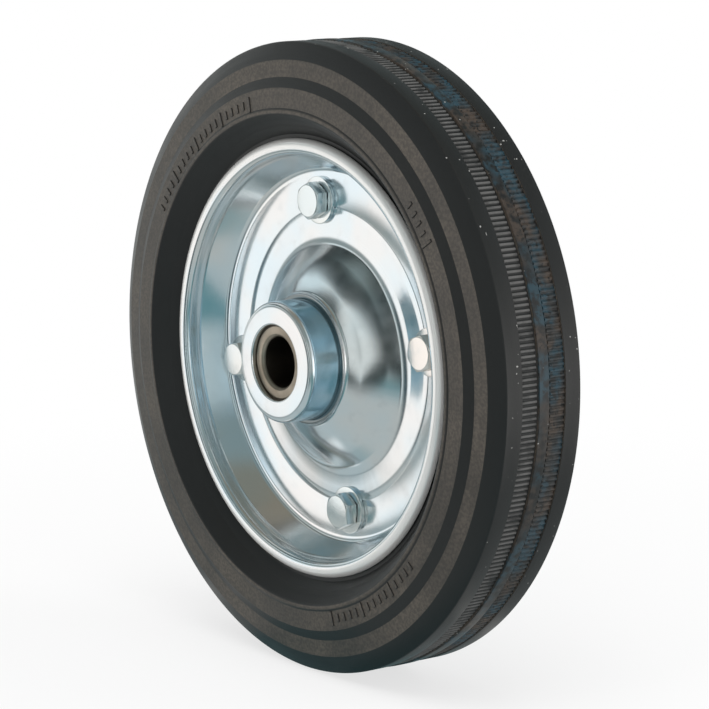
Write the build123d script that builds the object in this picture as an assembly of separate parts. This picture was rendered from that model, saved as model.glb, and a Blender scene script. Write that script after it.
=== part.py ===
from build123d import *
import math
import os

# Replacement wheel for castors and trolleys: a solid rubber tyre on two pressed steel rim halves
# that are bolted together round a hub tube with a caged roller bearing.
# The axle runs along Y, the wheel's centre is the origin, and the front rim half faces -Y.
# Sections are drawn in the XY plane, where x is the radius and y the place along the axle.
# Sizes are in millimetres. Sizes of one side hold for the other side too.

# Radii add up from the bore outwards, so each piece follows the pieces inside it.

# Bearing
BORE_R = 10.0             # for a 20 mm axle
SLEEVE_WALL = 4.5
SLEEVE_RECESS = 2.0       # how deep the sleeve's ends lie inside the hub's mouths
SLEEVE_CHAMFER = 0.4      # at the ends of the race
BORE_CHAMFER = 1.2        # at the mouths of the bore
ROLLER_R = 3.2
ROLLER_COUNT = 12
ROLLER_PLAY = 0.05        # radial play of a roller on each race
POCKET_PLAY = 0.08        # between a roller and the cage's pocket, all round
CAGE_INSET = 0.7          # the cage stays this far off both races
CAGE_RING = 3.3           # length of the solid ring at each end of the cage
THRUST_WALL = 1.4         # thickness of a thrust washer
THRUST_PLAY = 0.1         # along the axle, at each face of a thrust washer
THRUST_INSET = 0.6        # a thrust washer stays this far off the hub tube's bore
SEAL_PLAY = 0.1           # between a thrust washer and the inner sleeve

# Hub tube
HUB_WALL = 3.0
HUB_LENGTH = 64.0
HUB_LIP_WALL = 2.5        # thickness of the rolled ends
HUB_LIP_ROUND = 3.0
MOUTH_PLAY = 0.5          # between a rolled end and the inner sleeve
MOUTH_ROUND = 0.8

# Rim halves
SHEET = 1.8               # thickness of the pressed steel
COLLAR_FIT = 0.05         # between the collar and the hub tube
COLLAR = 2.5              # length of the collar round the hub tube
COLLAR_BEND = 2.2
DISH_WIDTH = 21.35        # radial width of the dished centre
DISH_HEIGHT = 15.1        # height of the dished centre at the collar
DISH_SWELL = 0.8          # the dish bulges out by this much halfway up
DISH_CURVE = 110.0        # radius of that bulge
DISH_FOOT_BEND = 7.5
INNER_LAND = 6.9          # flat disc between the dish's corner and the washers
OUTER_LAND = 4.1          # flat disc between the washers and the well wall's corner
COINED_IN = 2.9           # a fine ring is coined into the disc this far inside the bolt circle
COINED_WIDTH = 0.9
COINED_DEPTH = 0.25
DISC_BEND = 3.0
WELL_SLANT = 5.0          # radial width of the slanted part of the well wall
WELL_BEND = 6.0
WELL_LAND = 3.4           # straight part of the well wall below the rolled lip
LIP_BEND = 1.5            # radius inside the rolled lip
RIM_WIDTH = 38.0          # over the crests of the two rolled lips

# Tyre: the bands of its sidewall from the rim lip outwards
TYRE_FIT = 0.1            # between the tyre and the rim halves
SEAT_TIP = 3.0            # width of the tyre's inner tip, between the two rim halves
LIP_GROOVE = 1.5          # open groove between the rim lip and the rubber
BEAD_SLOPE = 3.4          # radial width of the bead beside the rim lip
BEAD_RISE = 3.2           # the bead's edge stands this much above the groove's floor
RIDGE_FRONT = 5.3         # radial width of the slope from the bead's edge up to the ridge
RIDGE_SHARPNESS = 0.465   # the ridge's corner stands this much above its rounded crest
RIDGE_ROUND = 1.8
RIDGE_BACK = 2.0          # radial width of the slope down to the marking band
MARK_BAND = 7.8           # radial width of the marking band
MARK_INNER_IN = 0.6       # how far the marking band's inner edge lies inside the full width
MARK_OUTER_IN = 1.0
STEP = 4.1                # radial width of the step down from the marking band
OUTER_BAND = 6.6          # radial width of the flat band outside the step
OUTER_BAND_IN = 3.1
CHAMFER_DEPTH = 7.1       # radial depth of the slanted edge of the tread
CHAMFER_FOOT_IN = 3.8     # how far its foot lies inside the tyre's full width
TREAD_IN = 7.4            # how far the tread's corner lies inside the tyre's full width
SHOULDER_ROUND = 0.8      # rounding of the tread's corner
TYRE_WIDTH = 50.0         # over the ridges of the two sidewalls

# Tread
MIDDLE_BAND = 4.8         # width of the raised middle band
MIDDLE_RISE = 0.2         # the middle band stands this much above the smooth shoulders
MIDDLE_GROOVE = 0.8       # width of the groove beside the middle band
GROOVE_DEPTH = 1.2
RIB_BAND = 7.2            # width of a ribbed band
RIB_COUNT = 370
RIB_HEIGHT = 0.6
RIB_DROP = 0.3            # the ribs' crests lie this much below the smooth shoulders
RIB_BED = 1.0             # rubber between the ribs' roots and the floor that they are joined to

# Fasteners
BOLT_COUNT = 4
BOLT_PHASE = 8.9          # degrees from +X towards +Z, to the first bolt
BOLT_R = 4.0
BOLT_STANDOUT = 2.4       # how far a bolt stands out of its nut
BOLT_POINT = 0.8
HOLE_PLAY = 0.25          # round a bolt, in the rim halves and the washers
HEX_FLATS = 13.0          # across the flats of heads and nuts
HEX_TURNED_IN = 0.3       # the round face of a turned end lies this far inside the flats
HEX_CHAMFER = 0.7         # depth of the turned edge at the corners
HEAD_HEIGHT = 5.3
HEAD_SEAT = 0.4           # height of the round seat under a head
HEAD_SEAT_IN = 0.5        # how far that seat lies inside the flats
HEAD_TURNS = (41, 20, 33, 18)    # how far each head happens to be turned, in degrees
NUT_HEIGHT = 6.8
THREAD_PLAY = 0.1         # between a nut's bore and its bolt
WASHER_R = 9.5
WASHER_WALL = 1.6
WASHER_EDGE = 0.3         # chamfer round a washer's outer edge

# Worked out from the sizes above
SLEEVE_R = BORE_R + SLEEVE_WALL
PITCH_R = SLEEVE_R + ROLLER_PLAY + ROLLER_R
HUB_BORE_R = PITCH_R + ROLLER_R + ROLLER_PLAY
HUB_R = HUB_BORE_R + HUB_WALL
HUB_MOUTH_R = SLEEVE_R + MOUTH_PLAY
SLEEVE_END_Y = HUB_LENGTH / 2 - SLEEVE_RECESS
THRUST_OUTER_Y = HUB_LENGTH / 2 - HUB_LIP_WALL - THRUST_PLAY
THRUST_INNER_Y = THRUST_OUTER_Y - THRUST_WALL
CAGE_END_Y = THRUST_INNER_Y - THRUST_PLAY
POCKET_END_Y = CAGE_END_Y - CAGE_RING
COLLAR_R = HUB_R + COLLAR_FIT
DISH_R = COLLAR_R + DISH_WIDTH
BOLT_CIRCLE_R = DISH_R + INNER_LAND + WASHER_R
DISC_R = BOLT_CIRCLE_R + WASHER_R + OUTER_LAND
BACK_WELL_R = DISC_R + WELL_SLANT + SHEET
LIP_CENTRE_R = BACK_WELL_R + LIP_BEND
LIP_CENTRE_Y = RIM_WIDTH / 2 - LIP_BEND - SHEET
LIP_OUTER_R = LIP_CENTRE_R + LIP_BEND + SHEET
WELL_FOOT_Y = LIP_CENTRE_Y - WELL_LAND
GROOVE_FLOOR_Y = LIP_CENTRE_Y - TYRE_FIT
BEAD_INNER_R = LIP_OUTER_R + LIP_GROOVE
BEAD_R = BEAD_INNER_R + BEAD_SLOPE
RIDGE_R = BEAD_R + RIDGE_FRONT
MARK_INNER_R = RIDGE_R + RIDGE_BACK
MARK_OUTER_R = MARK_INNER_R + MARK_BAND
OUTER_BAND_R = MARK_OUTER_R + STEP
CHAMFER_FOOT_R = OUTER_BAND_R + OUTER_BAND
SHOULDER_R = CHAMFER_FOOT_R + CHAMFER_DEPTH
TYRE_R = SHOULDER_R + MIDDLE_RISE
RIB_START_Y = MIDDLE_BAND / 2 + MIDDLE_GROOVE
RIB_END_Y = RIB_START_Y + RIB_BAND
RIB_CREST_R = SHOULDER_R - RIB_DROP
RIB_ROOT_R = RIB_CREST_R - RIB_HEIGHT
RIB_FLOOR_R = RIB_ROOT_R - RIB_BED
WASHER_FACE_Y = SHEET + WASHER_WALL


def spin(face):
    """Turn a section in the XY plane once round the axle."""
    return revolve(face, Axis.Y, 360)


def closed_section(*points):
    """A section with straight sides."""
    return make_face(Polyline(*points, close=True))


def ring(inner_r, outer_r, y_low, y_high):
    """A plain ring about the axle between two places."""
    return spin(closed_section((inner_r, y_low), (outer_r, y_low), (outer_r, y_high), (inner_r, y_high)))


def rod(radius, y_low, y_high):
    """A plain round rod along the axle between two places."""
    return ring(0, radius, y_low, y_high)


def turned_round(piece):
    """A front piece turned half a turn about the vertical, as the rear one."""
    return Rot(0, 0, 180) * piece


def around(angle, radius):
    """A place beside the axle: the angle runs from +X towards +Z, in degrees."""
    return Rot(0, -angle, 0) * Pos(radius, 0, 0)


def bolt_angles():
    return [BOLT_PHASE + number * 360 / BOLT_COUNT for number in range(BOLT_COUNT)]


def roller_angles():
    return [number * 360 / ROLLER_COUNT for number in range(ROLLER_COUNT)]


# Rim halves

def rim_line():
    """The face of the front rim half that the hub, the other half and the tyre touch, as one line."""
    half_dish = ((COLLAR_R + DISH_R) / 2, -DISH_HEIGHT / 2 - DISH_SWELL)
    corners = [
        (COLLAR_R, -DISH_HEIGHT - COLLAR),
        (COLLAR_R, -DISH_HEIGHT),
        half_dish,
        (DISH_R, 0),
        (DISC_R, 0),
        (BACK_WELL_R, -WELL_FOOT_Y),
        (BACK_WELL_R, -LIP_CENTRE_Y),
    ]
    bends = [
        COLLAR_BEND + SHEET,
        DISH_CURVE,
        DISH_FOOT_BEND + SHEET,
        DISC_BEND + SHEET,
        WELL_BEND + SHEET,
    ]
    wall = FilletPolyline(*corners, radius=bends)
    lip = ThreePointArc(
        (BACK_WELL_R, -LIP_CENTRE_Y),
        (LIP_CENTRE_R, -LIP_CENTRE_Y - LIP_BEND),
        (LIP_CENTRE_R + LIP_BEND, -LIP_CENTRE_Y),
    )
    return Wire(wall.edges() + lip.edges())


def make_pressing():
    """The front rim half before it is pierced: its line thickened forwards, turned and coined."""
    blank = spin(make_face(rim_line().offset_2d(SHEET, kind=Kind.ARC, side=Side.RIGHT, closed=True)))
    coined_r = BOLT_CIRCLE_R - COINED_IN
    return blank - spin(closed_section(
        (coined_r - COINED_WIDTH / 2, -SHEET),
        (coined_r, -SHEET + COINED_DEPTH),
        (coined_r + COINED_WIDTH / 2, -SHEET),
    ))


def pierced(pressing):
    """A rim half with its holes for the bolts."""
    hole = rod(BOLT_R + HOLE_PLAY, -2 * SHEET, 2 * SHEET)
    for angle in bolt_angles():
        pressing -= around(angle, BOLT_CIRCLE_R) * hole
    return pressing


# Tyre

def seat_corners():
    """From the tyre's inner tip up the well wall to the groove beside the rim lip: r, y, rounding."""
    slope = math.atan2(BACK_WELL_R - DISC_R, WELL_FOOT_Y)
    tip_r = DISC_R + TYRE_FIT / math.cos(slope) + SEAT_TIP / 2 * math.tan(slope)
    wall_r = BACK_WELL_R + TYRE_FIT
    return [
        (tip_r, SEAT_TIP / 2, 0),
        (wall_r, WELL_FOOT_Y + TYRE_FIT * math.tan(slope / 2), WELL_BEND + SHEET - TYRE_FIT),
        (wall_r, GROOVE_FLOOR_Y, 0),
        (BEAD_INNER_R, GROOVE_FLOOR_Y, 0),
    ]


def sidewall_corners():
    """From the groove beside the rim lip out to the tread's corner: r, y, rounding."""
    full = TYRE_WIDTH / 2
    return [
        (BEAD_R, GROOVE_FLOOR_Y + BEAD_RISE, 0),
        (RIDGE_R, full + RIDGE_SHARPNESS, RIDGE_ROUND),
        (MARK_INNER_R, full - MARK_INNER_IN, 0),
        (MARK_OUTER_R, full - MARK_OUTER_IN, 0),
        (OUTER_BAND_R, full - OUTER_BAND_IN, 0),
        (CHAMFER_FOOT_R, full - CHAMFER_FOOT_IN, 0),
        (SHOULDER_R, full - TREAD_IN, SHOULDER_ROUND),
    ]


def tread_corners():
    """From the ribbed band's outer edge to the middle band: r, y, rounding."""
    groove_r = TYRE_R - GROOVE_DEPTH
    return [
        (SHOULDER_R, RIB_END_Y, 0),
        (RIB_FLOOR_R, RIB_END_Y, 0),
        (RIB_FLOOR_R, RIB_START_Y, 0),
        (groove_r, RIB_START_Y, 0),
        (groove_r, MIDDLE_BAND / 2, 0),
        (TYRE_R, MIDDLE_BAND / 2, 0),
    ]


def make_rib_ring():
    """The front ribbed band as a ring with a ridge for each rib, which fills its channel."""
    points = []
    for number in range(RIB_COUNT):
        for place, radius in ((0, RIB_ROOT_R), (0.5, RIB_CREST_R)):
            angle = math.tau * (number + place) / RIB_COUNT
            points.append((radius * math.cos(angle), radius * math.sin(angle)))
    outline = make_face(Polyline(*points, close=True)) - Circle(RIB_FLOOR_R)
    return Plane.XZ.offset(RIB_START_Y) * extrude(outline, RIB_BAND)


def make_tyre():
    """The rubber ring: both halves of its section as one outline, with the ribs laid in."""
    half = seat_corners() + sidewall_corners() + tread_corners()
    outline = [(r, -y, rounding) for r, y, rounding in half] + half[::-1]
    line = FilletPolyline(
        *[(r, y) for r, y, rounding in outline],
        radius=[rounding for r, y, rounding in outline],
        close=True,
    )
    tyre = spin(make_face(line))
    ribs = make_rib_ring()
    tyre += ribs
    tyre += turned_round(ribs)
    return tyre


# Hub tube and bearing

def make_hub_tube():
    """A tube with both ends rolled inwards to a flat lip with a rounded edge."""
    end = HUB_LENGTH / 2
    inner_end = end - HUB_LIP_WALL
    half = [
        (HUB_BORE_R, inner_end, 0),
        (HUB_MOUTH_R, inner_end, 0),
        (HUB_MOUTH_R, end, MOUTH_ROUND),
        (HUB_R, end, HUB_LIP_ROUND),
    ]
    outline = [(r, -y, rounding) for r, y, rounding in half] + half[::-1]
    line = FilletPolyline(
        *[(r, y) for r, y, rounding in outline],
        radius=[rounding for r, y, rounding in outline],
        close=True,
    )
    return spin(make_face(line))


def make_inner_sleeve():
    """The hardened tube that sits on the axle and that the rollers run on."""
    half = [
        (BORE_R, SLEEVE_END_Y - BORE_CHAMFER),
        (BORE_R + BORE_CHAMFER, SLEEVE_END_Y),
        (SLEEVE_R - SLEEVE_CHAMFER, SLEEVE_END_Y),
        (SLEEVE_R, SLEEVE_END_Y - SLEEVE_CHAMFER),
    ]
    return spin(closed_section(*[(r, -y) for r, y in half], *half[::-1]))


def make_thrust_washer():
    """The front washer between the cage and the hub tube's rolled end."""
    return ring(SLEEVE_R + SEAL_PLAY, HUB_BORE_R - THRUST_INSET, -THRUST_OUTER_Y, -THRUST_INNER_Y)


def make_roller():
    """One roller on the axle's line, before it is moved out to its pocket."""
    end = POCKET_END_Y - POCKET_PLAY
    return rod(ROLLER_R, -end, end)


def make_roller_cage():
    """A sleeve with one through pocket for each roller and a solid ring at each end."""
    cage = ring(SLEEVE_R + CAGE_INSET, HUB_BORE_R - CAGE_INSET, -CAGE_END_Y, CAGE_END_Y)
    pocket_width = 2 * (ROLLER_R + POCKET_PLAY)
    pocket = Box(HUB_BORE_R - SLEEVE_R, 2 * POCKET_END_Y, pocket_width)
    for angle in roller_angles():
        cage -= around(angle, PITCH_R) * pocket
    return cage


# Fasteners: each stands on the bolt circle with its head at the front, towards -Y

def hex_blank(front_y, back_y, both_ends):
    """A hexagon prism along the axle's line, with its corners turned off at one end or both."""
    corner_r = HEX_FLATS / 2 / math.cos(math.pi / 6)
    face_r = HEX_FLATS / 2 - HEX_TURNED_IN
    back_r = face_r if both_ends else corner_r
    prism = Plane.XZ.offset(-back_y) * extrude(
        RegularPolygon(HEX_FLATS / 2, 6, major_radius=False), back_y - front_y
    )
    turned = spin(closed_section(
        (0, front_y),
        (face_r, front_y),
        (corner_r, front_y + HEX_CHAMFER),
        (corner_r, back_y - HEX_CHAMFER),
        (back_r, back_y),
        (0, back_y),
    ))
    return prism & turned


def make_bolt():
    """A hex bolt with a round seat under its head and a chamfered point."""
    seat_y = -WASHER_FACE_Y
    tip_y = WASHER_FACE_Y + NUT_HEIGHT + BOLT_STANDOUT
    seat_r = HEX_FLATS / 2 - HEAD_SEAT_IN
    head = hex_blank(seat_y - HEAD_HEIGHT, seat_y - HEAD_SEAT, both_ends=False)
    shank = spin(closed_section(
        (0, seat_y - HEAD_SEAT),
        (seat_r, seat_y - HEAD_SEAT),
        (seat_r, seat_y),
        (BOLT_R, seat_y),
        (BOLT_R, tip_y - BOLT_POINT),
        (BOLT_R - BOLT_POINT, tip_y),
        (0, tip_y),
    ))
    return head + shank


def make_nut():
    """A hex nut against the rear washer, with both its ends turned."""
    nut = hex_blank(WASHER_FACE_Y, WASHER_FACE_Y + NUT_HEIGHT, both_ends=True)
    return nut - rod(BOLT_R + THREAD_PLAY, 0, 2 * (WASHER_FACE_Y + NUT_HEIGHT))


def make_washer():
    """A round washer on the front rim half, its outer edges chamfered."""
    section = closed_section(
        (BOLT_R + HOLE_PLAY, -WASHER_FACE_Y),
        (WASHER_R, -WASHER_FACE_Y),
        (WASHER_R, -SHEET),
        (BOLT_R + HOLE_PLAY, -SHEET),
    )
    outer = section.vertices().group_by(Axis.X)[-1]
    return spin(chamfer(outer, WASHER_EDGE))


def on_bolt_circle(piece, turns):
    """One solid of the piece at each bolt, each turned about its own axis, as one group."""
    return Compound([
        solid
        for angle, turn in zip(bolt_angles(), turns)
        for solid in (around(angle, BOLT_CIRCLE_R) * Rot(0, angle - turn, 0) * piece).solids()
    ])


def write(name, piece):
    export_step(piece, "parts/" + name + ".step")


os.makedirs("parts", exist_ok=True)

pressing = make_pressing()
thrust_washer = make_thrust_washer()
roller = make_roller()
washer = make_washer()
unturned = (0,) * BOLT_COUNT

write("tyre", make_tyre())
write("rim_front", pierced(pressing))
write("rim_rear", pierced(turned_round(pressing)))
write("hub_tube", make_hub_tube())
write("inner_sleeve", make_inner_sleeve())
write("roller_cage", make_roller_cage())
write("thrust_washer_front", thrust_washer)
write("thrust_washer_rear", turned_round(thrust_washer))
for number, angle in enumerate(roller_angles(), start=1):
    write("roller_%02d" % number, around(angle, PITCH_R) * roller)
write("hex_bolts", on_bolt_circle(make_bolt(), HEAD_TURNS))
write("hex_nuts", on_bolt_circle(make_nut(), HEAD_TURNS))
write("head_washers", on_bolt_circle(washer, unturned))
write("nut_washers", on_bolt_circle(turned_round(washer), unturned))
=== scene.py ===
import bmesh
import bpy
import math
from bpy.props import FloatProperty, FloatVectorProperty, IntProperty, PointerProperty
from bpy.types import Operator, Panel, PropertyGroup
from mathutils import Matrix, Vector


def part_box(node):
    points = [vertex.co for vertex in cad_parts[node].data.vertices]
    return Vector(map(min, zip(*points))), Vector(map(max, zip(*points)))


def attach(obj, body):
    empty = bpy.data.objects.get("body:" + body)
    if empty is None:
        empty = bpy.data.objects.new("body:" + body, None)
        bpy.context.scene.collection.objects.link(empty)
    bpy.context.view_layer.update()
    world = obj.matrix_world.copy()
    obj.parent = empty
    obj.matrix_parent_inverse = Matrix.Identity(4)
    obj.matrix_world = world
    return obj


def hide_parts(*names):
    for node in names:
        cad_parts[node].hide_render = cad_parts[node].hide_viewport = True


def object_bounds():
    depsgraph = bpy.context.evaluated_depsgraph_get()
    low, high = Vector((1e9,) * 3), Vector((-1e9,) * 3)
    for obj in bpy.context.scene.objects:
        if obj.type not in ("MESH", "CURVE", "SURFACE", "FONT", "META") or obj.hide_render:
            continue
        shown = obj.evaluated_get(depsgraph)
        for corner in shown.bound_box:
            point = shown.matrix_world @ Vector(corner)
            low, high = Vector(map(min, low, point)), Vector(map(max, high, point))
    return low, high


bl_info = {
    "name": "Replacement Wheel",
    "version": (1, 0, 0),
    "blender": (4, 5, 0),
    "location": "View3D > Sidebar > Wheel",
    "description": "Builds a rubber-tyred steel wheel with a caged roller bearing on its packed frame",
    "category": "Object",
}

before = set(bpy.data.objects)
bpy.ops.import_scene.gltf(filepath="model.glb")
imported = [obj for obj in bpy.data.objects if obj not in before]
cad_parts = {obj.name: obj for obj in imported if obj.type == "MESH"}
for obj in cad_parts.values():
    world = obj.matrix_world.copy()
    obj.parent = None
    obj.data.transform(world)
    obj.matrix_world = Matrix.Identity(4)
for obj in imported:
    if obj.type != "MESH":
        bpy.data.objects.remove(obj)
CAD_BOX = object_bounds()

# Places shared by several pieces, in metres unless the name says otherwise.
# The axle runs along Y, and sections are drawn with x as the radius and y as the place along it.
MM = 0.001
TYRE_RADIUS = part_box("tyre")[1][0]
TYRE_HALF_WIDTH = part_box("tyre")[1][1]
RIM_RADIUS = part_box("rim_front")[1][0]
HUB_HALF_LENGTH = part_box("hub_tube")[1][1]
SLEEVE_HALF_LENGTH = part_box("inner_sleeve")[1][1]
HEAD_WASHER_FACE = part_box("head_washers")[0][1]
NUT_WASHER_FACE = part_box("nut_washers")[1][1]
HEAD_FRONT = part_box("hex_bolts")[0][1]
BOLT_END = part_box("hex_bolts")[1][1]
NUT_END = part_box("hex_nuts")[1][1]

# Each corner is its radius, its place along the axle and its rounding, in millimetres.
TYRE_SEAT = [
    (76.3, 1.5, 0.3),
    (82.3, 12.4, 7.7),
    (82.3, 15.6, 0.2),
    (88.5, 15.6, 0.5),
]
SIDEWALL = [
    (91.9, 18.8, 0.7),
    (97.2, 25.465, 1.8),
    (99.2, 24.4, 0.6),
    (107.0, 24.0, 0.5),
    (111.1, 21.9, 0.6),
    (117.7, 21.2, 0.6),
    (124.8, 17.6, 0.8),
]
TREAD = [
    (124.8, 10.4, 0.2),
    (122.9, 10.4, 0),
    (122.9, 3.2, 0),
    (123.8, 3.2, 0),
    (123.8, 2.4, 0.15),
    (125.0, 2.4, 0.3),
]
RIM_LINE = [
    (24.05, -17.6, 0),
    (24.05, -15.1, 4.0),
    (34.725, -8.35, 110),
    (45.4, 0, 9.3),
    (50.6, 0, 0),
    (53.0, 0, 0),
    (55.8, 0, 0),
    (58.45, 0, 0),
    (58.9, 0, 0),
    (59.35, 0, 0),
    (72.2, 0, 0),
    (75.4, 0, 4.8),
    (82.2, -12.3, 7.8),
    (82.2, -17.2, 1.5),
    (85.2, -17.2, 1.5),
    (85.2, -15.7, 0),
]
HUB_SECTION = [
    (21.0, 29.5, 0.5),
    (15.0, 29.5, 0.3),
    (15.0, 32.0, 0.8),
    (24.0, 32.0, 3.0),
]
SLEEVE_SECTION = [
    (10.0, 28.8, 0.3),
    (11.2, 30.0, 0.2),
    (14.1, 30.0, 0.15),
    (14.5, 29.6, 0.15),
]
RIB_FLOOR = 122.9 * MM
RIB_ROOT = 123.9 * MM
RIB_INNER_Y = 3.2 * MM
RIB_OUTER_Y = 10.4 * MM
MARK_ROOT = 98.6 * MM
MARK_TOP = 105.4 * MM


# Sizes and colours that a user would change

class TyreSettings(PropertyGroup):
    steps: IntProperty(
        name="Steps round", description="Segments round the tyre", default=360, min=64, max=720,
    )
    rib_count: IntProperty(
        name="Ribs", description="Ribs round one band of the tread", default=370, min=60, max=720,
    )
    rib_crest: FloatProperty(
        name="Rib crest radius", description="Radius over the crests of the ribs",
        default=TYRE_RADIUS - 0.0005, unit="LENGTH", subtype="DISTANCE",
    )
    mark_height: FloatProperty(
        name="Mark height", description="How far the marks stand out of the sidewall",
        default=0.0004, unit="LENGTH", subtype="DISTANCE",
    )
    rubber: FloatVectorProperty(
        name="Rubber", description="Colour of the clean rubber",
        default=(0.009, 0.009, 0.009), size=3, min=0, max=1, subtype="COLOR",
    )
    bloom: FloatVectorProperty(
        name="Bloom", description="Colour of the brownish bloom on the flat bands",
        default=(0.108, 0.090, 0.071), size=3, min=0, max=1, subtype="COLOR",
    )


class SteelSettings(PropertyGroup):
    sheet: FloatProperty(
        name="Sheet", description="Thickness of the pressed rim halves",
        default=0.0018, unit="LENGTH", subtype="DISTANCE",
    )
    zinc: FloatVectorProperty(
        name="Zinc", description="Colour of the zinc plating on the rim halves and hub",
        default=(0.80, 0.84, 0.86), size=3, min=0, max=1, subtype="COLOR",
    )
    race: FloatVectorProperty(
        name="Race", description="Colour of the oiled inner sleeve",
        default=(0.44, 0.38, 0.31), size=3, min=0, max=1, subtype="COLOR",
    )
    plastic: FloatVectorProperty(
        name="Cage", description="Colour of the cage and thrust washers",
        default=(0.10, 0.075, 0.05), size=3, min=0, max=1, subtype="COLOR",
    )


class FastenerSettings(PropertyGroup):
    circle: FloatProperty(
        name="Bolt circle", description="Radius of the circle that the bolts stand on",
        default=0.0618, unit="LENGTH", subtype="DISTANCE",
    )
    phase: FloatProperty(
        name="First bolt", description="Angle of the first bolt from +X towards +Z",
        default=math.radians(8.9), unit="ROTATION", subtype="ANGLE",
    )
    flats: FloatProperty(
        name="Across flats", description="Width of the heads and nuts",
        default=0.013, unit="LENGTH", subtype="DISTANCE",
    )
    washer: FloatProperty(
        name="Washer radius", description="Outer radius of the washers",
        default=(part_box("head_washers")[1][0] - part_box("head_washers")[0][0]) / 2 - 0.0618 * math.cos(math.radians(8.9)),
        unit="LENGTH", subtype="DISTANCE",
    )
    bolt: FloatProperty(
        name="Bolt radius", description="Radius over the crests of the thread",
        default=0.004, unit="LENGTH", subtype="DISTANCE",
    )
    pitch: FloatProperty(
        name="Thread pitch", description="Advance of the thread in one turn",
        default=0.00125, unit="LENGTH", subtype="DISTANCE",
    )


class StageSettings(PropertyGroup):
    azimuth: FloatProperty(
        name="Azimuth", description="Camera's place round the wheel, from straight in front",
        default=math.radians(53.0), unit="ROTATION", subtype="ANGLE",
    )
    elevation: FloatProperty(
        name="Elevation", description="Camera's height above the horizon",
        default=math.radians(9.836), unit="ROTATION", subtype="ANGLE",
    )
    distance: FloatProperty(
        name="Distance", description="From the camera to the wheel's centre",
        default=1.244063, unit="LENGTH", subtype="DISTANCE",
    )
    pan: FloatProperty(
        name="Pan", description="Camera turned aside from the wheel's centre",
        default=math.radians(-0.285), unit="ROTATION", subtype="ANGLE",
    )
    lens: FloatProperty(
        name="Lens", description="Focal length in millimetres", default=159.07,
    )
    softbox: FloatProperty(
        name="Softbox", description="Power of the large light above", default=34.0, unit="POWER",
    )
    fill: FloatProperty(
        name="Fill", description="Level of the even light from all round", default=0.5,
    )


# Mesh helpers

def section(bm, corners, closed=True, segments=5):
    """Draws corners as one wire in the XY plane and rounds each of them that has a rounding."""
    points = [Vector((r * MM, y * MM, 0)) for r, y, _ in corners]
    verts = [bm.verts.new(point) for point in points]
    for first, second in zip(verts, verts[1:]):
        bm.edges.new((first, second))
    if closed:
        bm.edges.new((verts[-1], verts[0]))
    for number, (_, _, rounding) in enumerate(corners):
        if not rounding:
            continue
        before = points[number] - points[number - 1]
        after = points[(number + 1) % len(points)] - points[number]
        turn = before.angle(after)
        bmesh.ops.bevel(
            bm, geom=[verts[number]], offset=rounding * MM * math.tan(turn / 2), offset_type="OFFSET",
            affect="VERTICES", segments=max(segments, round(rounding / 3)), profile=0.5, material=-1,
        )
    bmesh.ops.remove_doubles(bm, verts=bm.verts, dist=2e-6)


def mirrored(half):
    """A closed section from its half on the +Y side, listed outwards from the inner end."""
    return [(r, -y, rounding) for r, y, rounding in half] + half[::-1]


def spin_full(bm, steps):
    """Turns everything in bm once round the axle and closes the seam."""
    bmesh.ops.spin(
        bm, geom=bm.verts[:] + bm.edges[:], cent=(0, 0, 0), axis=(0, 1, 0), dvec=(0, 0, 0),
        angle=math.tau, steps=steps, use_merge=True,
    )
    bmesh.ops.remove_doubles(bm, verts=bm.verts, dist=1e-6)
    bmesh.ops.recalc_face_normals(bm, faces=bm.faces)


def turned(corners, steps, segments=5):
    """A bmesh of a closed section turned round the axle."""
    bm = bmesh.new()
    section(bm, corners, segments=segments)
    spin_full(bm, steps)
    return bm


def around(angle, radius):
    """A place beside the axle: the angle runs from +X towards +Z."""
    return Matrix.Rotation(-angle, 4, "Y") @ Matrix.Translation((radius, 0, 0))


def new_piece(name, bm, body, material, slot, *nodes, crease=35):
    """Makes bm an object that rides on body and stands for nodes; edges sharper than crease stay sharp."""
    for edge in bm.edges:
        edge.smooth = edge.calc_face_angle(0) < math.radians(crease)
    for face in bm.faces:
        face.smooth = True
    mesh = bpy.data.meshes.new(name)
    bm.to_mesh(mesh)
    bm.free()
    mesh.materials.append(material)
    piece = bpy.data.objects.new(name, mesh)
    bpy.context.scene.collection.objects.link(piece)
    if nodes:
        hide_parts(*nodes)
    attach(piece, body)
    return piece


def combined(bm, tool, operation):
    """bm after a Boolean with the bmesh tool; both are used up."""
    objects = []
    for name, source in (("blank", bm), ("cutter", tool)):
        mesh = bpy.data.meshes.new(name)
        source.to_mesh(mesh)
        source.free()
        objects.append(bpy.data.objects.new(name, mesh))
        bpy.context.scene.collection.objects.link(objects[-1])
    blank, cutter = objects
    modifier = blank.modifiers.new("Boolean", "BOOLEAN")
    modifier.operation = operation
    modifier.solver = "EXACT"
    modifier.object = cutter
    result = bmesh.new()
    result.from_object(blank, bpy.context.evaluated_depsgraph_get())
    for item in objects:
        mesh = item.data
        bpy.data.objects.remove(item)
        bpy.data.meshes.remove(mesh)
    bmesh.ops.remove_doubles(result, verts=result.verts, dist=2e-6)
    bmesh.ops.recalc_face_normals(result, faces=result.faces)
    return result


def join(bm, other):
    """Adds the bmesh other to bm and uses it up."""
    mesh = bpy.data.meshes.new("joined")
    other.to_mesh(mesh)
    other.free()
    bm.from_mesh(mesh)
    bpy.data.meshes.remove(mesh)


def soften(bm, width, crease=40, segments=2):
    """Bevels every edge sharper than crease by width."""
    sharp = [edge for edge in bm.edges if edge.calc_face_angle(0) > math.radians(crease)]
    bmesh.ops.bevel(
        bm, geom=sharp, offset=width, offset_type="OFFSET", affect="EDGES", segments=segments,
        profile=0.5, material=-1, clamp_overlap=True,
    )


# Shader helpers

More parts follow.
